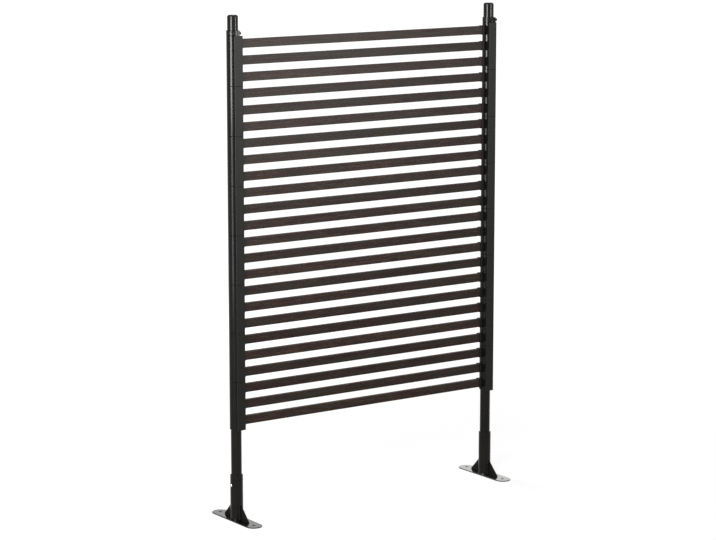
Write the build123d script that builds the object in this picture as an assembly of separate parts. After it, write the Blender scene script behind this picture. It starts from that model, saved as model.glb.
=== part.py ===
"""A free-standing garden fence: 24 wood-look slats held between two black posts.

Each post is a steel tube with a plug in its top. Eight bracket mouldings are stacked on it and
each one holds the ends of three slats. A split collar with a tangential screw closes the stack.
Every post stands in a swivelling foot: a socket tube with a guide bush, a locking screw, two
gussets and a polished plate with two ground-fixing holes.

Millimetres. X runs along the fence, -Y is its front, +Z is up. The origin is on the ground,
midway between the posts.
"""

from build123d import *
import os

# Overall sizes
total_height = 1495.0
post_spacing = 930.0
stack_bottom = 276.0

# Fits between pieces
running_gap = 0.08
snug_gap = 0.05
seat_gap = 0.3

# Post tube and its top plug
pole_od = 31.8
pole_wall = 1.2
cap_height = 9.5
cap_bevel = 4.0
cap_foot_bevel = 0.5
cap_plug_length = 18.0
cap_plug_wall = 1.6

# Slats
slats_per_bracket = 3
slat_height = 26.0
slat_depth = 14.0
slat_wall = 2.0
slat_corner = 1.5

# Bracket mouldings
brackets_per_post = 8
bracket_height = 145.0
sleeve_wall = 2.8
sleeve_bevel = 1.0
cheek_standoff = 6.2
cheek_thickness = 2.2
cheek_outer_reach = 11.0
cheek_inner_reach = 17.4
cheek_bevel = 0.8
rib_start = 2.0
rib_setback = 1.0
pocket_gap = 0.15
pocket_depth = 9.6
pocket_floor = 0.6
socket_lip = 1.0
socket_side = 2.3
boss_radius = 5.5
boss_reach = 4.5

# Screw that fixes a bracket to its post from behind
bracket_screw_radius = 2.0
bracket_screw_head_radius = 3.8
bracket_screw_head = 2.4
bracket_screw_slot = 0.9

# Split collar on top of the stack, and its screw and nut
collar_height = 15.0
collar_wall = 2.9
collar_bevel = 0.8
collar_split = 2.0
ear_thickness = 6.5
ear_reach = 8.3
clamp_screw_radius = 2.5
clamp_head_radius = 4.2
clamp_head = 5.0
clamp_hex_radius = 2.2
clamp_hex_depth = 2.5
clamp_nut_radius = 4.6
clamp_nut = 4.0
clamp_thread_end = 1.0

# Foot
plate_length = 235.0
plate_width = 50.0
plate_thickness = 3.0
plate_bevel = 0.4
fixing_spacing = 185.0
fixing_radius = 3.0
socket_tube_wall = 2.0
socket_height = 120.0
bush_wall = 1.0
bush_flange = 15.0
bush_depth = 110.0
bush_bevel = 0.6
gusset_thickness = 3.0
gusset_height = 50.0
gusset_reach = 66.0
gusset_toe = 3.0
foot_screw_level = 107.0
foot_screw_radius = 3.0
foot_screw_head_radius = 4.2
foot_screw_head = 2.6

# Worked out from the sizes above
pole_r = pole_od / 2
pole_inner_r = pole_r - pole_wall
bore_r = pole_r + running_gap
pole_bottom = plate_thickness + seat_gap
pole_top = total_height - cap_height
sleeve_r = bore_r + sleeve_wall
cheek_back = sleeve_r + cheek_standoff
cheek_front = cheek_back + cheek_thickness
slat_pitch = bracket_height / slats_per_bracket
stack_top = stack_bottom + brackets_per_post * bracket_height
socket_half_height = slat_height / 2 + pocket_gap + socket_lip
socket_half_depth = slat_depth / 2 + pocket_gap + socket_side
pocket_start = sleeve_r + pocket_floor
socket_mouth = pocket_start + pocket_depth
slat_end = pocket_start + seat_gap
slat_length = post_spacing - 2 * slat_end
boss_end = sleeve_r + boss_reach
collar_r = bore_r + collar_wall
ear_front = collar_r + ear_reach
ear_outer = collar_split / 2 + ear_thickness
clamp_screw_y = -(collar_r + ear_front) / 2
bush_outer_r = bore_r + bush_wall
socket_inner_r = bush_outer_r + snug_gap
socket_outer_r = socket_inner_r + socket_tube_wall
socket_top = plate_thickness + socket_height
bush_bottom = socket_top - bush_depth


def block(x, y, z):
    """A box from its three (low, high) pairs."""
    size = (x[1] - x[0], y[1] - y[0], z[1] - z[0])
    return Pos((x[0] + x[1]) / 2, (y[0] + y[1]) / 2, (z[0] + z[1]) / 2) * Box(*size)


def rod(radius, low, high):
    """An upright cylinder on the Z axis between two heights."""
    return Pos(0, 0, (low + high) / 2) * Cylinder(radius, high - low)


def ring(outer, inner, low, high):
    """An upright tube on the Z axis."""
    return rod(outer, low, high) - rod(inner, low - 1, high + 1)


def rod_x(radius, low, high, y=0.0, z=0.0):
    """A cylinder that lies along X."""
    return Pos((low + high) / 2, y, z) * Rot(0, 90, 0) * Cylinder(radius, high - low)


def rod_y(radius, low, high, x=0.0, z=0.0):
    """A cylinder that lies along Y."""
    return Pos(x, (low + high) / 2, z) * Rot(90, 0, 0) * Cylinder(radius, high - low)


def round_edges(shape, radius):
    """The full-circle edges of one radius, which get a bevel."""
    circles = shape.edges().filter_by(GeomType.CIRCLE)
    return circles.filter_by(lambda edge: abs(edge.radius - radius) < 1e-3)


# Pieces of one post. They are drawn on the Z axis with the slats on the +X side.


def make_pole():
    return ring(pole_r, pole_inner_r, pole_bottom, pole_top)


def make_cap():
    """The top plug: a bevelled head on the tube's end and a hollow plug inside it."""
    head = rod(pole_r, pole_top, total_height)
    rims = round_edges(head, pole_r)
    head = chamfer(rims.sort_by(Axis.Z)[-1], cap_bevel)
    rims = round_edges(head, pole_r)
    head = chamfer(rims.sort_by(Axis.Z)[0], cap_foot_bevel)
    plug_r = pole_inner_r - snug_gap
    plug = ring(plug_r, plug_r - cap_plug_wall, pole_top - cap_plug_length, pole_top)
    return head + plug


def make_bracket(level):
    """One moulding: sleeve, front cheek, three slat sockets with ribs, and a boss behind."""
    top = level + bracket_height
    sleeve = rod(sleeve_r, level, top)
    sleeve = chamfer(round_edges(sleeve, sleeve_r), sleeve_bevel)
    cheek = block(
        (-cheek_outer_reach, cheek_inner_reach), (-cheek_front, -cheek_back), (level, top)
    )
    front_edges = cheek.faces().sort_by(Axis.Y)[0].edges()
    body = sleeve + chamfer(front_edges, cheek_bevel)
    body += rod_y(boss_radius, 0, boss_end, z=level + bracket_height / 2)
    pockets = []
    for index in range(slats_per_bracket):
        middle = level + (index + 0.5) * slat_pitch
        span = (middle - socket_half_height, middle + socket_half_height)
        side = (-socket_half_depth, socket_half_depth)
        body += block((0, socket_mouth), side, span)
        body += block((rib_start, cheek_inner_reach - rib_setback), (-cheek_back, 0), span)
        pocket_half = slat_depth / 2 + pocket_gap
        pocket_span = (span[0] + socket_lip, span[1] - socket_lip)
        pockets.append(
            block((pocket_start, socket_mouth + 1), (-pocket_half, pocket_half), pocket_span)
        )
    body -= pockets
    body -= rod(bore_r, level - 1, top + 1)
    screw_hole = bracket_screw_radius + snug_gap
    return body - rod_y(screw_hole, 0, boss_end + 1, z=level + bracket_height / 2)


def make_bracket_screw(level):
    """A slotted screw through the boss, with its flat tip at the tube."""
    middle = level + bracket_height / 2
    head_end = boss_end + bracket_screw_head
    screw = rod_y(bracket_screw_radius, bore_r, boss_end, z=middle)
    head = rod_y(bracket_screw_head_radius, boss_end, head_end, z=middle)
    slot_half = bracket_screw_slot / 2
    slot_reach = bracket_screw_head_radius + 1
    slot = block(
        (-slot_half, slot_half),
        (head_end - bracket_screw_head / 2, head_end + 1),
        (middle - slot_reach, middle + slot_reach),
    )
    return screw + head - slot


def make_collar():
    """The split ring on the stack, with two ears at the front."""
    top = stack_top + collar_height
    ring_body = rod(collar_r, stack_top, top)
    ring_body = chamfer(round_edges(ring_body, collar_r), collar_bevel)
    ears = block((-ear_outer, ear_outer), (-ear_front, 0), (stack_top, top))
    upright = ears.edges().filter_by(Axis.Z).sort_by(Axis.Y)[:2]
    body = ring_body + fillet(upright, collar_bevel)
    body -= rod(bore_r, stack_top - 1, top + 1)
    half_split = collar_split / 2
    body -= block((-half_split, half_split), (-ear_front - 1, 0), (stack_top - 1, top + 1))
    middle = stack_top + collar_height / 2
    hole_r = clamp_screw_radius + snug_gap
    return body - rod_x(hole_r, -ear_outer - 1, ear_outer + 1, clamp_screw_y, middle)


def make_clamp_fastener():
    """The collar's socket-head screw, its head outwards, and its hexagonal nut."""
    middle = stack_top + collar_height / 2
    head_end = -ear_outer - clamp_head
    nut_end = ear_outer + clamp_nut
    shank = rod_x(
        clamp_screw_radius, -ear_outer, nut_end + clamp_thread_end, clamp_screw_y, middle
    )
    head = rod_x(clamp_head_radius, head_end, -ear_outer, clamp_screw_y, middle)
    hexagon = Plane.YZ * RegularPolygon(clamp_hex_radius, 6)
    key = Pos(head_end, clamp_screw_y, middle) * extrude(hexagon, clamp_hex_depth)
    nut_face = Plane.YZ * RegularPolygon(clamp_nut_radius, 6)
    nut = Pos(ear_outer, clamp_screw_y, middle) * extrude(nut_face, clamp_nut)
    nut -= rod_x(
        clamp_screw_radius + snug_gap, ear_outer - 1, nut_end + 1, clamp_screw_y, middle
    )
    return Compound(children=[(shank + head - key).solid(), nut.solid()])


# Pieces of one foot


def make_base_plate():
    """The plate: a bar with round ends and a fixing hole at the middle of each."""
    outline = Rot(0, 0, 90) * SlotOverall(plate_length, plate_width)
    plate = extrude(outline, plate_thickness)
    plate = chamfer(plate.faces().sort_by(Axis.Z)[-1].edges(), plate_bevel)
    for side in (-1, 1):
        hole = Pos(0, side * fixing_spacing / 2, 0) * rod(
            fixing_radius, -1, plate_thickness + 1
        )
        plate -= hole
    return plate


def foot_screw_hole():
    reach = socket_outer_r + foot_screw_head
    return rod_x(foot_screw_radius + snug_gap, -reach, 0, z=foot_screw_level)


def make_foot_socket():
    tube = ring(socket_outer_r, socket_inner_r, plate_thickness, socket_top)
    return tube - foot_screw_hole()


def make_foot_bush():
    """The guide bush: a flange as wide as the socket, and a liner inside it."""
    flange_top = socket_top + bush_flange
    flange = rod(socket_outer_r, socket_top, flange_top)
    flange = chamfer(round_edges(flange, socket_outer_r), bush_bevel)
    body = flange + rod(bush_outer_r, bush_bottom, socket_top + bush_flange / 2)
    return body - rod(bore_r, bush_bottom - 1, flange_top + 1) - foot_screw_hole()


def make_foot_screw():
    """A domed locking screw on the outer side, its flat tip at the tube."""
    seat = socket_outer_r + snug_gap
    crown = seat + foot_screw_head
    shank = rod_x(foot_screw_radius, -seat, -bore_r, z=foot_screw_level)
    dome_r = (foot_screw_head_radius**2 + foot_screw_head**2) / (2 * foot_screw_head)
    ball = Pos(dome_r - crown, 0, foot_screw_level) * Sphere(dome_r)
    return shank + (ball & rod_x(foot_screw_head_radius, -crown, -seat, z=foot_screw_level))


def make_gussets():
    """Two upright triangles on the plate, one in front of the tube and one behind it."""
    base = plate_thickness
    outline = Polyline(
        (0, base),
        (gusset_reach, base),
        (gusset_reach, base + gusset_toe),
        (socket_outer_r, base + gusset_height),
        (0, base + gusset_height),
        close=True,
    )
    face = Plane.YZ * make_face(outline)
    web = extrude(face, gusset_thickness / 2, both=True)
    web -= rod(socket_outer_r, 0, socket_top)
    return Compound(children=[web.solid(), mirror(web, about=Plane.XZ).solid()])


def make_slat(level):
    """A hollow profile with rounded corners and a web, along X at one height."""
    outer = RectangleRounded(slat_depth, slat_height, slat_corner)
    chamber_height = (slat_height - 3 * slat_wall) / 2
    chamber = Rectangle(slat_depth - 2 * slat_wall, chamber_height)
    offset = (chamber_height + slat_wall) / 2
    section = outer - Pos(0, offset) * chamber - Pos(0, -offset) * chamber
    profile = extrude(Plane.YZ * section, slat_length / 2, both=True)
    return Pos(0, 0, level) * profile


def write(shape, name):
    export_step(shape, f"parts/{name}.step")


def place(shape, side):
    """Moves a piece of one post to its side, and mirrors it for the right-hand post."""
    half = post_spacing / 2
    if side == "left":
        return Pos(-half, 0, 0) * shape
    return Pos(half, 0, 0) * mirror(shape, about=Plane.YZ)


def write_post(side):
    for number in range(1, brackets_per_post + 1):
        level = stack_bottom + (number - 1) * bracket_height
        write(place(make_bracket(level), side), f"{side}_bracket_{number}")
    levels = [stack_bottom + index * bracket_height for index in range(brackets_per_post)]
    screws = [place(make_bracket_screw(level), side).solid() for level in levels]
    write(Compound(children=screws), f"{side}_bracket_screws")
    pieces = {
        "pole": make_pole(),
        "pole_cap": make_cap(),
        "clamp_collar": make_collar(),
        "clamp_fastener": make_clamp_fastener(),
        "base_plate": make_base_plate(),
        "foot_socket": make_foot_socket(),
        "foot_bush": make_foot_bush(),
        "foot_screw": make_foot_screw(),
        "foot_gussets": make_gussets(),
    }
    for name, shape in pieces.items():
        write(place(shape, side), f"{side}_{name}")


os.makedirs("parts", exist_ok=True)
for slat in range(brackets_per_post * slats_per_bracket):
    slat_level = stack_bottom + (slat + 0.5) * slat_pitch
    write(make_slat(slat_level), f"slat_{slat + 1:02d}")
for post_side in ("left", "right"):
    write_post(post_side)
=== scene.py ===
# %% [markdown]
# # A slatted garden fence on two feet
#
# This lesson dresses a garden fence that was drawn in CAD. Twenty-four wood-look slats hang between
# two black posts, and each post stands in a foot with a polished plate. The CAD model is the fixed
# frame: its posts, brackets, collars and feet keep their shape and get a finish here, and the slats
# are made again with the fine ribs that an extruded slat has.
#
# Everything is in metres. X runs along the fence, the front looks along -Y and Z is up.

# %% Load the frame
import math

import bpy
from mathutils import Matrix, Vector


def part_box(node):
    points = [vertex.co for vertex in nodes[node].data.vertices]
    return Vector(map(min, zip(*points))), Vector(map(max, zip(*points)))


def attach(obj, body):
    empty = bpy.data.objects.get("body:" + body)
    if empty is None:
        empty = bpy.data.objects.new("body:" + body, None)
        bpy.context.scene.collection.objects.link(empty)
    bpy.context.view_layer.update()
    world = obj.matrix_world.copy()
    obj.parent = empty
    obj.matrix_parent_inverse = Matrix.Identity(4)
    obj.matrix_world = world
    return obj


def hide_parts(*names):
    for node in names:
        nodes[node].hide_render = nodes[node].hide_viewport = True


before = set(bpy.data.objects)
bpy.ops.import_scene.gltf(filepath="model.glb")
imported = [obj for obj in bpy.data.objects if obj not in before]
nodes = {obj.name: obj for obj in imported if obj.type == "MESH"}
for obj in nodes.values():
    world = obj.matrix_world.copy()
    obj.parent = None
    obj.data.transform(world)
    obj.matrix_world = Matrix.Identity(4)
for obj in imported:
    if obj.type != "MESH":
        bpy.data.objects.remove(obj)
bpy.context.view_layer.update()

MM = 0.001


def middle_x(node):
    """The X of the middle of a CAD node's box, in metres."""
    low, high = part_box(node)
    return (low[0] + high[0]) / 2


# %% [markdown]
# ## Two small helpers
#
# Colours are chosen as sRGB hex values, the way a colour picker shows them, but shaders add light in
# linear values. One function turns the one into the other. A second function adds a node to any node
# tree with its settings and links, so that the geometry and the materials below read as lists of
# what is joined to what.

# %% Colour helper
def srgb(hex_code):
    """The linear colour of an sRGB hex value such as 'a0b0c0', with an alpha of 1."""
    channels = [int(hex_code[i:i + 2], 16) / 255 for i in (0, 2, 4)]
    return tuple(c / 12.92 if c <= 0.04045 else ((c + 0.055) / 1.055) ** 2.4 for c in channels) + (1.0,)


# %% Node helper
def add(tree, kind, inputs=None, **settings):
    """Adds a node. An input is a value, or the output socket that is linked to it."""
    node = tree.nodes.new(kind)
    for name, value in settings.items():
        setattr(node, name, value)
    for key, value in (inputs or {}).items():
        if isinstance(value, bpy.types.NodeSocket):
            tree.links.new(value, node.inputs[key])
        else:
            node.inputs[key].default_value = value
    return node


print("sRGB 808080 is", round(srgb("808080")[0], 3), "in linear light")

# %% [markdown]
# ## A finish is a small node tree
#
# Every finish below starts from one Principled shader. Patterns are laid out in Object coordinates,
# which are metres here, so that a Mapping node that multiplies by 1000 gives millimetres, and a
# noise scale of 1 / 3 then makes marks about 3 mm across.

# %% Start a material
def start_finish(name):
    """A new material with a Principled shader, and its place on the object in millimetres."""
    material = bpy.data.materials.new(name)
    material.use_nodes = True
    tree = material.node_tree
    tree.nodes.clear()
    place = add(tree, "ShaderNodeTexCoord").outputs["Object"]
    place_mm = add(tree, "ShaderNodeMapping", {"Vector": place, "Scale": (1 / MM,) * 3}).outputs[0]
    shader = add(tree, "ShaderNodeBsdfPrincipled")
    add(tree, "ShaderNodeOutputMaterial", {"Surface": shader.outputs[0]})
    return material, tree, place_mm, shader


# %% [markdown]
# ## Wood-look composite for the slats
#
# The slats of a fence like this are extruded from wood fibre and plastic and then brushed, so the
# colour goes all the way through. What the eye gets is a dark red brown that is nearly matt, with
# short streaks of lighter fibre that run along the slat, and a slightly different tone from slat to
# slat. The streaks are noise that is stretched along X: about 60 mm long and 2 mm high, with a finer
# layer of 14 mm by 0.7 mm. Wide patches of 260 mm by 9 mm lean to olive. The tone comes from an
# attribute that each slat brings with it.

# %% Streaks along a slat
def streaks(tree, place_mm, length, height, detail):
    """Noise in streaks that are this long along X and this high, in millimetres."""
    depth = 5.0
    stretched = add(tree, "ShaderNodeMapping", {
        "Vector": place_mm,
        "Scale": (1 / length, 1 / depth, 1 / height),
    }).outputs[0]
    return add(tree, "ShaderNodeTexNoise", {
        "Vector": stretched,
        "Scale": 1.0,
        "Detail": detail,
        "Roughness": 0.6,
    }).outputs["Fac"]


# %% Slat finish
def make_slat_finish():
    """The composite: dark where the grain is low, lighter where it is high, and olive in patches."""
    material, tree, place_mm, shader = start_finish("brushed_wood_plastic_composite")
    tone = add(tree, "ShaderNodeAttribute", attribute_name="slat_tone").outputs["Fac"]
    long_streak = streaks(tree, place_mm, length=60.0, height=2.0, detail=3.0)
    fibre = streaks(tree, place_mm, length=14.0, height=0.7, detail=2.0)
    patch = streaks(tree, place_mm, length=260.0, height=9.0, detail=2.0)
    grain = add(tree, "ShaderNodeMath", {0: long_streak, 1: fibre}, operation="ADD").outputs[0]
    grain = add(tree, "ShaderNodeMapRange", {
        "Value": grain,
        "From Min": 0.75,
        "From Max": 1.3,
    }).outputs[0]
    toned = add(tree, "ShaderNodeMath", {0: grain, 1: tone}, operation="ADD").outputs[0]
    ramp = add(tree, "ShaderNodeValToRGB", {"Fac": toned})
    ramp.color_ramp.elements[0].position = 0.1
    ramp.color_ramp.elements[0].color = srgb("1f120e")
    ramp.color_ramp.elements[1].position = 1.0
    ramp.color_ramp.elements[1].color = srgb("5a4237")
    middle = ramp.color_ramp.elements.new(0.55)
    middle.color = srgb("2a1a16")
    olive = add(tree, "ShaderNodeMapRange", {
        "Value": patch,
        "From Min": 0.42,
        "From Max": 0.66,
        "To Max": 0.6,
    }).outputs[0]
    colour = add(tree, "ShaderNodeMix", {
        "Factor": olive,
        "A": ramp.outputs["Color"],
        "B": srgb("2e2b23"),
    }, data_type="RGBA")
    tree.links.new(colour.outputs["Result"], shader.inputs["Base Color"])
    rough = add(tree, "ShaderNodeMapRange", {
        "Value": fibre,
        "From Min": 0.3,
        "From Max": 0.7,
        "To Min": 0.37,
        "To Max": 0.47,
    }).outputs[0]
    tree.links.new(rough, shader.inputs["Roughness"])
    bump = add(tree, "ShaderNodeBump", {
        "Height": grain,
        "Strength": 0.25,
        "Distance": 0.2 * MM,
    }).outputs[0]
    tree.links.new(bump, shader.inputs["Normal"])
    shader.inputs["Specular IOR Level"].default_value = 0.1
    return material


slat_finish = make_slat_finish()
print("slats:", slat_finish.name)

# %% [markdown]
# ## Black finishes
#
# Several black surfaces meet on each post, and only their gloss tells them apart. The post tube and
# the foot are powder-coated steel, which has a faint orange-peel ripple with cells of 1 to 2 mm. The
# collars, plugs and bushes are nylon from a finely eroded mould, which looks satin. The clamp screws
# are blackened steel, a dull grey black. The gussets wear the same coat as the tubes, but on a
# rougher cut plate, which leaves them duller. One function makes them all, and what differs is the
# ripple, the gloss and the level, which is how much of a lamp the surface mirrors.
#
# The brackets are moulded ABS with two textures in one mould: the round sleeve is polished and draws
# the bright stripe, and the flat cheeks and the slat sockets are eroded to a dull grey black. The
# distance from the post's axis tells the two apart.

# %% Black finishes
def make_black_finish(name, colour, tint, gloss, ripple_mm, ripple_height, level=0.11, eroded=None):
    """A black coating or plastic.

    Gloss is the lowest and the highest roughness. The ripple's cells and height are in millimetres.
    Eroded is the colour and the roughness of the dull part, where there is one.
    """
    cloud_mm = 70.0
    material, tree, place_mm, shader = start_finish(name)
    ripple = add(tree, "ShaderNodeTexNoise", {
        "Vector": place_mm,
        "Scale": 1 / ripple_mm,
        "Detail": 2.0,
    }).outputs["Fac"]
    cloud = add(tree, "ShaderNodeTexNoise", {
        "Vector": place_mm,
        "Scale": 1 / cloud_mm,
        "Detail": 4.0,
        "Roughness": 0.65,
    }).outputs["Fac"]
    shade = add(tree, "ShaderNodeMapRange", {
        "Value": cloud,
        "From Min": 0.35,
        "From Max": 0.65,
    }).outputs[0]
    mixed = add(tree, "ShaderNodeMix", {
        "Factor": shade,
        "A": srgb(colour),
        "B": srgb(tint),
    }, data_type="RGBA").outputs["Result"]
    rough = add(tree, "ShaderNodeMapRange", {
        "Value": cloud,
        "From Min": 0.3,
        "From Max": 0.7,
        "To Min": gloss[0],
        "To Max": gloss[1],
    }).outputs[0]
    if eroded:
        dull_colour, dull_roughness = eroded
        dull = outside_sleeve(tree, place_mm)
        mixed = add(tree, "ShaderNodeMix", {
            "Factor": dull,
            "A": mixed,
            "B": srgb(dull_colour),
        }, data_type="RGBA").outputs["Result"]
        rough = add(tree, "ShaderNodeMix", {
            "Factor": dull,
            "A": rough,
            "B": dull_roughness,
        }).outputs["Result"]
    tree.links.new(mixed, shader.inputs["Base Color"])
    tree.links.new(rough, shader.inputs["Roughness"])
    bump = add(tree, "ShaderNodeBump", {
        "Height": ripple,
        "Strength": 0.5,
        "Distance": ripple_height * MM,
    }).outputs[0]
    tree.links.new(bump, shader.inputs["Normal"])
    shader.inputs["Specular IOR Level"].default_value = level
    return material


def outside_sleeve(tree, place_mm):
    """1 where a bracket's surface lies further from the post's axis than the round sleeve, else 0."""
    axis_x = middle_x("right_pole") / MM
    sleeve_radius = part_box("right_bracket_1")[1][1] / MM
    place = add(tree, "ShaderNodeSeparateXYZ", {0: place_mm}).outputs
    from_middle = add(tree, "ShaderNodeMath", {0: place["X"]}, operation="ABSOLUTE").outputs[0]
    x = add(tree, "ShaderNodeMath", {0: from_middle, 1: axis_x}, operation="SUBTRACT").outputs[0]
    flat = add(tree, "ShaderNodeCombineXYZ", {"X": x, "Y": place["Y"]}).outputs[0]
    radius = add(tree, "ShaderNodeVectorMath", {0: flat}, operation="LENGTH").outputs["Value"]
    margin = 0.1
    return add(tree, "ShaderNodeMath", {
        0: radius,
        1: sleeve_radius + margin,
    }, operation="GREATER_THAN").outputs[0]


powder_coat = make_black_finish(
    "black_powder_coated_steel", "161512", "1b1a16", gloss=(0.13, 0.18), ripple_mm=1.6, ripple_height=0.008)
gusset_coat = make_black_finish(
    "black_powder_coated_gusset_plate", "0c0c0c", "161614", gloss=(0.35, 0.45), ripple_mm=1.6,
    ripple_height=0.012, level=0.06)
moulded_abs = make_black_finish(
    "black_moulded_abs", "161616", "1a1a19", gloss=(0.14, 0.17), ripple_mm=14.0, ripple_height=0.003,
    eroded=("161614", 0.45))
satin_nylon = make_black_finish(
    "black_satin_nylon", "181616", "1e1d1b", gloss=(0.18, 0.24), ripple_mm=0.8, ripple_height=0.008)
black_oxide = make_black_finish(
    "black_oxide_screw_steel", "1f2020", "252626", gloss=(0.3, 0.4), ripple_mm=0.8, ripple_height=0.01)
blacks = (powder_coat, gusset_coat, moulded_abs, satin_nylon, black_oxide)
print("black finishes:", [material.name for material in blacks])

# %% [markdown]
# ## Bright metal
#
# The foot plates are stainless steel, polished with a belt that leaves hair-fine lines along the plate. The
# edge of each plate and a ring round each hole are painted dark, as painted shade, and are neither shiny nor
# metallic there. A mirror that is slightly scratched blurs what stands on it, so the socket shows in the
# plate as a soft dark shape. The screws are zinc-plated, which is paler and rougher. Lines of a few
# hundredths of a millimetre can't show at this size, so they are drawn 0.6 mm wide.

# %% Polished steel and zinc
# Painted shade: the dark colour put on the plates' edges and on the rings round their holes.
painted_shade_colour = "3a3938"


def shaded_edge_and_rings(tree, place_mm, holes):
    """1 on a foot plate's edge and on the ring round each of its holes, where shade is painted, else 0."""
    place = add(tree, "ShaderNodeSeparateXYZ", {0: place_mm}).outputs
    x = add(tree, "ShaderNodeMath", {0: place["X"]}, operation="ABSOLUTE").outputs[0]
    y = add(tree, "ShaderNodeMath", {0: place["Y"]}, operation="ABSOLUTE").outputs[0]
    flat = add(tree, "ShaderNodeCombineXYZ", {"X": x, "Y": y}).outputs[0]
    off = add(tree, "ShaderNodeVectorMath", {0: flat, 1: holes["centre"]}, operation="DISTANCE")
    ring = add(tree, "ShaderNodeMath", {
        0: off.outputs["Value"],
        1: holes["ring radius"],
    }, operation="LESS_THAN").outputs[0]
    edge = add(tree, "ShaderNodeMath", {
        0: place["Z"],
        1: holes["edge level"],
    }, operation="LESS_THAN").outputs[0]
    return add(tree, "ShaderNodeMath", {0: ring, 1: edge}, operation="MAXIMUM").outputs[0]


def make_bright_metal(name, colour, dull_colour, rough_range, line_mm, line_height, holes=None):
    """A bare metal with fine lines, which are line_mm wide and long.

    Holes says where a foot plate's edge and the rings round its holes lie, in millimetres. There the colour
    is painted shade: dark, neither shining nor metallic, because a metal would still mirror the white floor
    at a flat angle.
    """
    smudge_mm = 18.0
    wide, long = line_mm
    material, tree, place_mm, shader = start_finish(name)
    lines = add(tree, "ShaderNodeMapping", {
        "Vector": place_mm,
        "Scale": (1 / wide, 1 / long, 1 / wide),
    }).outputs[0]
    scratches = add(tree, "ShaderNodeTexNoise", {
        "Vector": lines,
        "Scale": 1.0,
        "Detail": 3.0,
    }).outputs["Fac"]
    smudge = add(tree, "ShaderNodeTexNoise", {
        "Vector": place_mm,
        "Scale": 1 / smudge_mm,
        "Detail": 3.0,
    }).outputs["Fac"]
    bright = add(tree, "ShaderNodeMix", {
        "Factor": smudge,
        "A": srgb(colour),
        "B": srgb(dull_colour),
    }, data_type="RGBA").outputs["Result"]
    if holes:
        # The plate's edge and the rings round its holes get painted shade and lose their metal.
        cut = shaded_edge_and_rings(tree, place_mm, holes)
        bright = add(tree, "ShaderNodeMix", {
            "Factor": cut,
            "A": bright,
            "B": srgb(painted_shade_colour),
        }, data_type="RGBA").outputs["Result"]
        shine = add(tree, "ShaderNodeMath", {0: 1.0, 1: cut}, operation="SUBTRACT").outputs[0]
        tree.links.new(shine, shader.inputs["Metallic"])
        shader.inputs["Specular IOR Level"].default_value = 0.0
    tree.links.new(bright, shader.inputs["Base Color"])
    rough = add(tree, "ShaderNodeMapRange", {
        "Value": smudge,
        "From Min": 0.3,
        "From Max": 0.7,
        "To Min": rough_range[0],
        "To Max": rough_range[1],
    }).outputs[0]
    tree.links.new(rough, shader.inputs["Roughness"])
    bump = add(tree, "ShaderNodeBump", {
        "Height": scratches,
        "Strength": 0.4,
        "Distance": line_height * MM,
    }).outputs[0]
    tree.links.new(bump, shader.inputs["Normal"])
    shader.inputs["Metallic"].default_value = 1.0
    return material


# %% Where a foot plate gets painted shade, and the three metals
plate_low, plate_high = (Vector(corner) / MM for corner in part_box("right_base_plate"))
plate_end_radius = (plate_high.x - plate_low.x) / 2
unshaded_top_depth = 0.3
plate_holes = {
    "centre": ((plate_low.x + plate_high.x) / 2, plate_high.y - plate_end_radius, 0.0),
    "ring radius": 5.0,
    "edge level": plate_high.z - unshaded_top_depth,
}
belt_lines = {"line_mm": (0.6, 40.0), "line_height": 0.01, "holes": plate_holes}
# The left plate's darker colour is painted shade for the darker surroundings that it mirrors; both plates are
# the same steel.
left_steel = make_bright_metal(
    "polished_stainless_painted_darker", "6c6c6b", "5f5f5e", rough_range=(0.12, 0.2), **belt_lines)
right_steel = make_bright_metal(
    "polished_stainless_bright", "b4b4b3", "a8a8a7", rough_range=(0.1, 0.16), **belt_lines)
zinc = make_bright_metal(
    "bright_zinc_plating", "dcdcd8", "c8c8c4", rough_range=(0.2, 0.3), line_mm=(0.5, 0.5), line_height=0.01)
print("metals:", [metal.name for metal in (left_steel, right_steel, zinc)])

# %% [markdown]
# ## Each piece gets its finish
#
# The frame's pieces arrive in place with plain materials. Their meshes stay as they are and only the material
# slots change. The two posts carry the same pieces under names that differ in the first word, so one list
# dresses both sides. Only the foot plates differ: the left one is the same steel with its colour painted
# darker, painted shade for the darker surroundings that it mirrors.

# %% Give the frame its finishes
finish_of = {
    "pole": powder_coat,
    "foot_socket": powder_coat,
    "foot_gussets": gusset_coat,
    "pole_cap": satin_nylon,
    "clamp_collar": satin_nylon,
    "foot_bush": satin_nylon,
    "clamp_fastener": black_oxide,
    "foot_screw": zinc,
    "bracket_screws": zinc,
}
brackets_per_post = 8
finish_of.update({f"bracket_{n + 1}": moulded_abs for n in range(brackets_per_post)})
finished = []
for side, steel in (("left", left_steel), ("right", right_steel)):
    for part, finish in {**finish_of, "base_plate": steel}.items():
        node = nodes[f"{side}_{part}"]
        for slot in node.material_slots:
            slot.material = finish
        finished.append(node.name)
print("nodes with a finish:", len(finished))

# %% [markdown]
# ## The slats
#
# A slat is an extrusion: one hollow outline pushed about 890 mm along the fence. Modelling 24 of them by
# hand would be copy and paste, and an Array modifier would make them all alike. Geometry Nodes follow
# the factory instead. An outline is drawn and rounded, fine ribs are pressed into it, it is filled,
# extruded and turned, and a line of 24 points carries the result. Each point hands its slat a tone.
# The frame's slats have a web across the hollow. The slat ends sit deep in their sockets, where nobody
# sees it, so it is left out here.

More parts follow.
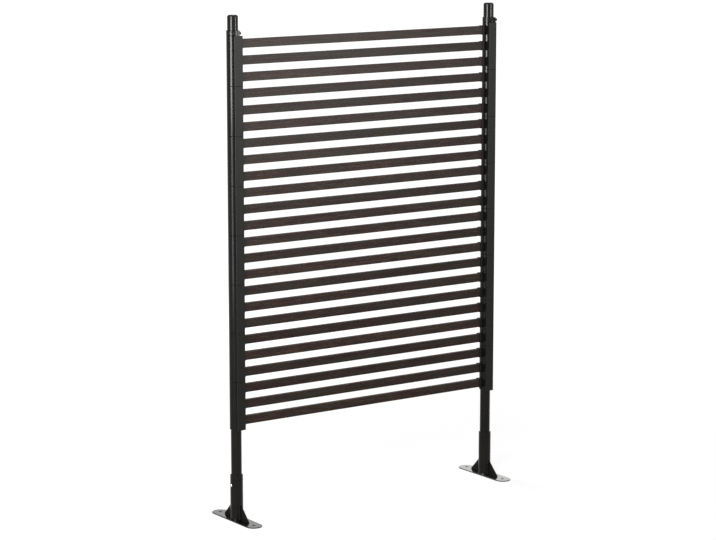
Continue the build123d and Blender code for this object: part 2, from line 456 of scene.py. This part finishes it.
# %% Sizes of the slats, read from the frame
slat_nodes = sorted(n for n in nodes if n.startswith("slat_"))
slat_low, slat_high = (Vector(corner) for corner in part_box(slat_nodes[0]))
second_low = Vector(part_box(slat_nodes[1])[0])
slat = {
    "Length": slat_high.x - slat_low.x,
    "Depth": slat_high.y - slat_low.y,
    "Height": slat_high.z - slat_low.z,
    "Wall": 2.0 * MM,
    "Corner": 1.5 * MM,
    "Rib Depth": 0.12 * MM,
    "Rib Spacing": 0.8 * MM,
    "Pitch": second_low.z - slat_low.z,
    "Count": len(slat_nodes),
    "Start": Vector((slat_low.x, 0.0, (slat_low.z + slat_high.z) / 2)),
    "Seed": 7,
}
print("slats:", slat["Count"], "pitch in mm:", round(slat["Pitch"] / MM, 2))


# %% Make a geometry node tree with named inputs
def start_tree(name, sizes):
    """A geometry node tree with one input for each size. Returns the tree and its inputs' sockets."""
    tree = bpy.data.node_groups.new(name, "GeometryNodeTree")
    kinds = {float: "NodeSocketFloat", int: "NodeSocketInt", Vector: "NodeSocketVector"}
    for size_name, value in sizes.items():
        tree.interface.new_socket(size_name, in_out="INPUT", socket_type=kinds[type(value)])
    tree.interface.new_socket("Geometry", in_out="OUTPUT", socket_type="NodeSocketGeometry")
    return tree, tree.nodes.new("NodeGroupInput").outputs


def build_piece(name, tree, sizes, material):
    """Runs the tree with these sizes and returns the result as an object with a plain mesh."""
    holder = bpy.data.objects.new(name + "_holder", bpy.data.meshes.new(name + "_holder"))
    bpy.context.scene.collection.objects.link(holder)
    modifier = holder.modifiers.new("build", "NODES")
    modifier.node_group = tree
    for item in tree.interface.items_tree:
        if item.in_out == "INPUT" and item.name in sizes:
            value = sizes[item.name]
            modifier[item.identifier] = tuple(value) if isinstance(value, Vector) else value
    evaluated = holder.evaluated_get(bpy.context.evaluated_depsgraph_get())
    mesh = bpy.data.meshes.new_from_object(evaluated)
    mesh.name = name
    piece = bpy.data.objects.new(name, mesh)
    bpy.context.scene.collection.objects.link(piece)
    bpy.data.objects.remove(holder)
    mesh.materials.clear()
    mesh.materials.append(material)
    print(name, "has", len(mesh.polygons), "faces")
    return piece


# %% Draw the outline of a slat
def slat_outline(tree, size):
    """The rounded outline with its pressed ribs, joined with the outline of the hollow."""
    outer = add(tree, "GeometryNodeCurvePrimitiveQuadrilateral", {
        "Width": size["Depth"],
        "Height": size["Height"],
    }).outputs[0]
    outer = add(tree, "GeometryNodeFilletCurve", {
        "Curve": outer,
        "Radius": size["Corner"],
        "Count": 4,
    }, mode="POLY").outputs[0]
    outer = add(tree, "GeometryNodeResampleCurve", {
        "Curve": outer,
        "Length": size["Rib Spacing"],
    }, mode="LENGTH").outputs[0]
    place = add(tree, "GeometryNodeInputPosition").outputs[0]
    rib = add(tree, "FunctionNodeRandomValue", {
        2: 0.0,
        3: 1.0,
        "Seed": size["Seed"],
    }, data_type="FLOAT").outputs[1]
    rib = add(tree, "ShaderNodeMath", {0: rib, 1: size["Rib Depth"]}, operation="MULTIPLY").outputs[0]
    inward = add(tree, "ShaderNodeVectorMath", {0: place}, operation="NORMALIZE").outputs[0]
    inward = add(tree, "ShaderNodeVectorMath", {0: inward, "Scale": rib}, operation="SCALE").outputs[0]
    outer = add(tree, "GeometryNodeSetPosition", {
        "Geometry": outer,
        "Position": add(tree, "ShaderNodeVectorMath", {0: place, 1: inward}, operation="SUBTRACT").outputs[0],
    }).outputs[0]
    wall = add(tree, "ShaderNodeMath", {0: size["Wall"], 1: 2.0}, operation="MULTIPLY").outputs[0]
    inner = add(tree, "GeometryNodeCurvePrimitiveQuadrilateral", {
        "Width": add(tree, "ShaderNodeMath", {0: size["Depth"], 1: wall}, operation="SUBTRACT").outputs[0],
        "Height": add(tree, "ShaderNodeMath", {0: size["Height"], 1: wall}, operation="SUBTRACT").outputs[0],
    }).outputs[0]
    outline = add(tree, "GeometryNodeJoinGeometry")
    tree.links.new(inner, outline.inputs[0])
    tree.links.new(outer, outline.inputs[0])
    return outline.outputs[0]


# %% Extrude it to a slat
def whole_slat(tree, size, outline):
    """The outline filled, extruded to the slat's length, closed at both ends and turned along X."""
    end_face = add(tree, "GeometryNodeFillCurve", {0: outline}).outputs[0]
    along = add(tree, "ShaderNodeCombineXYZ", {"Z": size["Length"]}).outputs[0]
    pushed = add(tree, "GeometryNodeExtrudeMesh", {
        "Mesh": end_face,
        "Offset": along,
        "Offset Scale": 1.0,
        "Individual": False,
    }, mode="FACES").outputs[0]
    closed = add(tree, "GeometryNodeJoinGeometry")
    tree.links.new(pushed, closed.inputs[0])
    tree.links.new(add(tree, "GeometryNodeFlipFaces", {0: end_face}).outputs[0], closed.inputs[0])
    sewn = add(tree, "GeometryNodeMergeByDistance", {0: closed.outputs[0], "Distance": 0.001 * MM})
    return add(tree, "GeometryNodeTransform", {
        "Geometry": sewn.outputs[0],
        "Rotation": (math.radians(90), 0.0, math.radians(90)),
    }).outputs[0]


# %% Hang the slats one above the other
tone_spread = 0.12


def slat_tree():
    """The tree of all slats. Each carries its own tone in the attribute slat_tone."""
    tree, size = start_tree("slats", slat)
    one_slat = whole_slat(tree, size, slat_outline(tree, size))
    column = add(tree, "GeometryNodeMeshLine", {
        "Count": size["Count"],
        "Start Location": size["Start"],
        "Offset": add(tree, "ShaderNodeCombineXYZ", {"Z": size["Pitch"]}).outputs[0],
    }, mode="OFFSET").outputs[0]
    slats = add(tree, "GeometryNodeInstanceOnPoints", {"Points": column, "Instance": one_slat}).outputs[0]
    tone = add(tree, "FunctionNodeRandomValue", {
        2: -tone_spread,
        3: tone_spread,
        "Seed": size["Seed"],
    }, data_type="FLOAT").outputs[1]
    slats = add(tree, "GeometryNodeStoreNamedAttribute", {
        "Geometry": slats,
        "Name": "slat_tone",
        "Value": tone,
    }, data_type="FLOAT", domain="INSTANCE").outputs[0]
    slats = add(tree, "GeometryNodeRealizeInstances", {0: slats}).outputs[0]
    slats = add(tree, "GeometryNodeSetMaterial", {"Geometry": slats, "Material": slat_finish}).outputs[0]
    tree.links.new(slats, tree.nodes.new("NodeGroupOutput").inputs[0])
    return tree


slats = build_piece("ribbed_slats", slat_tree(), slat, slat_finish)
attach(slats, "screen")
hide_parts(*slat_nodes)

# %% [markdown]
# ## Weld beads on the feet
#
# Each foot has two triangular gussets that stiffen its socket, and a gusset is joined to the tube by a
# weld on both of its sides. A weld is a row of overlapping puddles, like fish scales. A curve runs up
# each seam, is cut into equal steps, and each step gets one flattened ball. The coating lies over the
# beads, so they are black like the tube.

# %% Sizes of the beads
tube_low, tube_high = (Vector(corner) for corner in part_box("right_foot_socket"))
gusset_low, gusset_high = (Vector(corner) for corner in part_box("right_foot_gussets"))
off_gusset = 0.7 * MM
off_tube = 0.1 * MM
end_gap = 1.5 * MM
bead = {
    "Across": (gusset_high.x - gusset_low.x) / 2 + off_gusset,
    "Out": (tube_high.x - tube_low.x) / 2 + off_tube,
    "Low": gusset_low.z + end_gap,
    "High": gusset_high.z - end_gap,
    "Step": 2.2 * MM,
    "Bead Radius": 2.2 * MM,
    "Seed": 3,
}
print("a seam in mm:", round((bead["High"] - bead["Low"]) / MM, 1))


# %% Draw the beads
def bead_tree(sizes):
    """The tree of one foot's beads, on the four seams between its gussets and its socket."""
    smallest = (0.85, 0.85, 0.6)
    largest = (1.1, 1.1, 0.8)
    tree, size = start_tree("weld_beads", sizes)
    seams = add(tree, "GeometryNodeJoinGeometry")
    for across in (-1.0, 1.0):
        for out in (-1.0, 1.0):
            x = add(tree, "ShaderNodeMath", {
                0: size["Across"],
                1: across,
                2: size["Post"],
            }, operation="MULTIPLY_ADD").outputs[0]
            y = add(tree, "ShaderNodeMath", {0: size["Out"], 1: out}, operation="MULTIPLY").outputs[0]
            ends = [
                add(tree, "ShaderNodeCombineXYZ", {"X": x, "Y": y, "Z": size[level]}).outputs[0]
                for level in ("Low", "High")
            ]
            seam = add(tree, "GeometryNodeCurvePrimitiveLine", {"Start": ends[0], "End": ends[1]}).outputs[0]
            tree.links.new(seam, seams.inputs[0])
    steps = add(tree, "GeometryNodeResampleCurve", {
        "Curve": seams.outputs[0],
        "Length": size["Step"],
    }, mode="LENGTH").outputs[0]
    ball = add(tree, "GeometryNodeMeshUVSphere", {
        "Segments": 10,
        "Rings": 6,
        "Radius": size["Bead Radius"],
    }).outputs[0]
    puddle = add(tree, "FunctionNodeRandomValue", {
        0: smallest,
        1: largest,
        "Seed": size["Seed"],
    }, data_type="FLOAT_VECTOR").outputs[0]
    beads = add(tree, "GeometryNodeInstanceOnPoints", {
        "Points": steps,
        "Instance": ball,
        "Scale": puddle,
    }).outputs[0]
    beads = add(tree, "GeometryNodeRealizeInstances", {0: beads}).outputs[0]
    beads = add(tree, "GeometryNodeSetShadeSmooth", {"Geometry": beads}).outputs[0]
    beads = add(tree, "GeometryNodeSetMaterial", {"Geometry": beads, "Material": powder_coat}).outputs[0]
    tree.links.new(beads, tree.nodes.new("NodeGroupOutput").inputs[0])
    return tree


for side in ("left", "right"):
    sizes = {**bead, "Post": middle_x(f"{side}_foot_socket")}
    beads = build_piece(f"{side}_weld_beads", bead_tree(sizes), sizes, powder_coat)
    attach(beads, f"{side}_foot")

# %% [markdown]
# ## Floor, light and camera
#
# The photograph was taken in a studio and its ground is pure white. The floor is a large pale sheet that
# looks white to the camera and in reflections, and still takes a soft shadow. Its own glow is a little
# weaker near the fence, where the lamps add their light, so the shadow shows there.
#
# Gloss and colour want different lamps here. A stripe on a black post is the mirror image of a lamp,
# and it needs a far brighter lamp than wood does, because black plastic mirrors only a hundredth of
# what falls on it. So three softboxes work as a photographer's cards: they are seen in the gloss and
# light nothing. A tall one on the left draws the bright stripe and ends above the floor, with a
# weak skirt below it, so the stripe fades lower down. One at the front right greys the upper slats.
# Where a stripe lies on a round post gives the direction of its lamp. Two more softboxes, in front
# and behind, light the matt colours to the level at which they render as they are written.

# %% Floor
floor_mesh = bpy.data.meshes.new("floor")
reach = 60.0
floor_level = -0.2 * MM
corners = [(x * reach, y * reach, floor_level) for x, y in ((-1, -1), (1, -1), (1, 1), (-1, 1))]
floor_mesh.from_pydata(corners, [], [(0, 1, 2, 3)])
floor = bpy.data.objects.new("floor", floor_mesh)
bpy.context.scene.collection.objects.link(floor)
print("floor in m:", 2 * reach, "square, at", floor_level / MM, "mm")


# %% What the camera and mirrors see
def seen_directly(tree):
    """1 for camera, glossy and transmission rays, 0 for the rays that light the object."""
    path = add(tree, "ShaderNodeLightPath").outputs
    seen = path["Is Camera Ray"]
    for ray in ("Is Glossy Ray", "Is Transmission Ray"):
        seen = add(tree, "ShaderNodeMath", {0: seen, 1: path[ray]}, operation="MAXIMUM").outputs[0]
    return seen


# %% White paper
paper = bpy.data.materials.new("white_paper_sweep")
paper.use_nodes = True
sheet = paper.node_tree
sheet.nodes.clear()
glow = add(sheet, "ShaderNodeEmission", {"Color": srgb("ffffff")})
place = add(sheet, "ShaderNodeTexCoord").outputs["Object"]
distance = add(sheet, "ShaderNodeVectorMath", {0: place}, operation="LENGTH").outputs["Value"]
lift = add(sheet, "ShaderNodeMapRange", {
    "Value": distance,
    "From Min": 0.5,
    "From Max": 5.0,
    "To Min": 0.74,
    "To Max": 1.0,
}, interpolation_type="SMOOTHSTEP").outputs[0]
seen = seen_directly(sheet)
strength = add(sheet, "ShaderNodeMath", {0: seen, 1: lift}, operation="MULTIPLY").outputs[0]
sheet.links.new(strength, glow.inputs["Strength"])
matt = add(sheet, "ShaderNodeBsdfDiffuse", {"Color": srgb("b0b0b0")})
both = add(sheet, "ShaderNodeAddShader", {0: glow.outputs[0], 1: matt.outputs[0]})
add(sheet, "ShaderNodeOutputMaterial", {"Surface": both.outputs[0]})
floor_mesh.materials.append(paper)
print("floor finish:", paper.name)

# %% World
world = bpy.data.worlds.new("studio")
bpy.context.scene.world = world
world.use_nodes = True
sky = world.node_tree
sky.nodes.clear()
ambient = 0.25
level = add(sky, "ShaderNodeMapRange", {
    "Value": seen_directly(sky),
    "To Min": ambient,
    "To Max": 1.0,
}).outputs[0]
air = add(sky, "ShaderNodeBackground", {"Color": srgb("ffffff"), "Strength": level})
add(sky, "ShaderNodeOutputWorld", {"Surface": air.outputs[0]})
print("the world is white to the eye and lights the fence with", ambient)


# %% Softboxes
def softbox(name, bearing, distance, width, low, high, radiance, mirrored):
    """A lamp that faces the fence, and is either mirrored in its gloss or lights its matt colours.

    The bearing is in degrees from -Y towards -X.
    """
    lamp = bpy.data.lights.new(name, "AREA")
    lamp.shape = "RECTANGLE"
    lamp.size = width
    lamp.size_y = high - low
    lamp.energy = radiance * math.pi * width * (high - low)
    turn = math.radians(bearing)
    box = bpy.data.objects.new(name, lamp)
    box.location = (-math.sin(turn) * distance, -math.cos(turn) * distance, (low + high) / 2)
    box.rotation_euler = (math.radians(90), 0.0, -turn)
    box.visible_glossy = mirrored
    box.visible_diffuse = not mirrored
    bpy.context.scene.collection.objects.link(box)
    print(name, "power in W:", round(lamp.energy))


key_side = {"bearing": 67.0, "distance": 3.2, "width": 1.25, "mirrored": True}
softbox("key_card", low=0.9, high=2.5, radiance=44.0, **key_side)
softbox("key_skirt", low=0.15, high=0.9, radiance=9.0, **key_side)
softbox(
    "fill_card", bearing=-25.0, distance=3.5, width=0.9, low=1.1, high=2.5, radiance=40.0, mirrored=True)
softbox(
    "front_light", bearing=45.0, distance=3.2, width=1.6, low=0.9, high=2.6, radiance=11.5, mirrored=False)
softbox(
    "rear_light", bearing=180.0, distance=3.5, width=1.6, low=0.8, high=2.6, radiance=9.0, mirrored=False)

# %% [markdown]
# ## The camera
#
# The place and the focal length come from matching the frame's corners with the photograph: the camera
# stands about 7 m away, a little above the fence, and looks at it from the left. The focal length was
# found in pixels of a picture 716 wide, and the sensor's width turns it into millimetres. The
# photograph has upright posts, as a shifted lens gives them. Here the camera is tilted down instead,
# because a shift would also push the fence off centre in every other view.

# %% Camera
tilt_down = 9.977
turn_right = 34.966
focal_px = 2450.4
picture_width_px = 716
sensor_mm = 36.0
camera = bpy.data.objects.new("camera", bpy.data.cameras.new("camera"))
bpy.context.scene.collection.objects.link(camera)
camera.location = (-4.2067, -5.9782, 1.9914)
camera.rotation_euler = (math.radians(90 - tilt_down), 0.0, math.radians(-turn_right))
camera.data.sensor_width = sensor_mm
camera.data.lens = focal_px / picture_width_px * sensor_mm
bpy.context.scene.camera = camera
bpy.context.scene.view_settings.view_transform = "Standard"
print("lens in mm:", round(camera.data.lens, 1))
